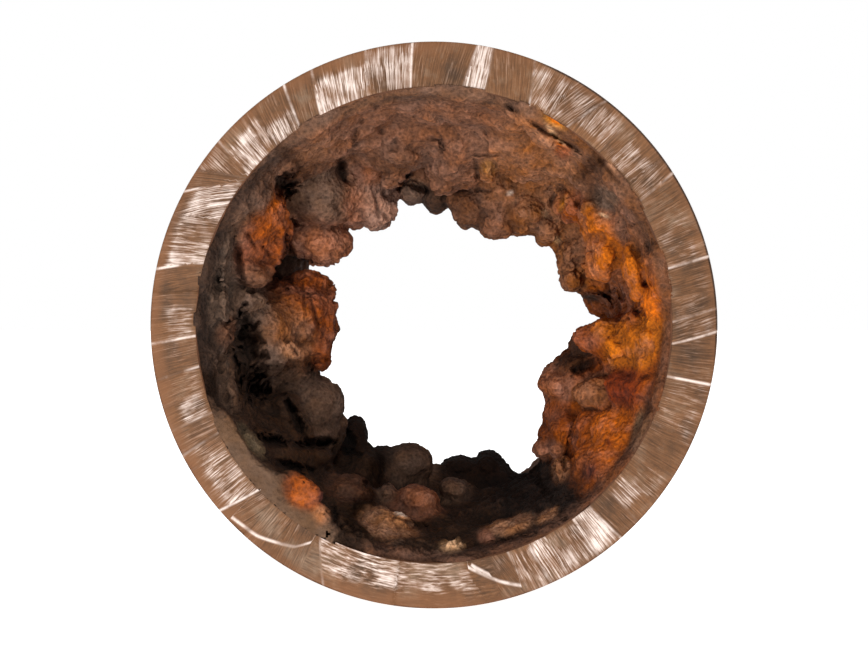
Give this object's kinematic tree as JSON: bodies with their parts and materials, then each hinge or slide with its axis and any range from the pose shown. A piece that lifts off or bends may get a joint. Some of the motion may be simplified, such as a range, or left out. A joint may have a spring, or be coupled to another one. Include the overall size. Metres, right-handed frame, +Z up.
{
  "type": "corroded pipe",
  "caption": "Sawn length of old cast-iron water main lying on its side, its bore choked by knobbly rust tubercles that leave a ragged open way through.",
  "frame": {"origin": "on the floor, below the middle of the lying pipe", "axes": "+Y along the pipe from the sawn end that the picture shows to the far end, +Z up, +X to the right as seen from in front of the sawn end"},
  "size_m": [0.1218, 0.15, 0.1219],
  "materials": {
    "sawn_iron": "grey iron, sawn and scratched on the ends, brown with rust outside",
    "rust": "matt brittle rust scale, brown to grey-brown with orange patches"
  },
  "bodies": {
    "root": {"pipe_wall": "sawn_iron", "rust_crust": "rust"}
  },
  "joints": []
}
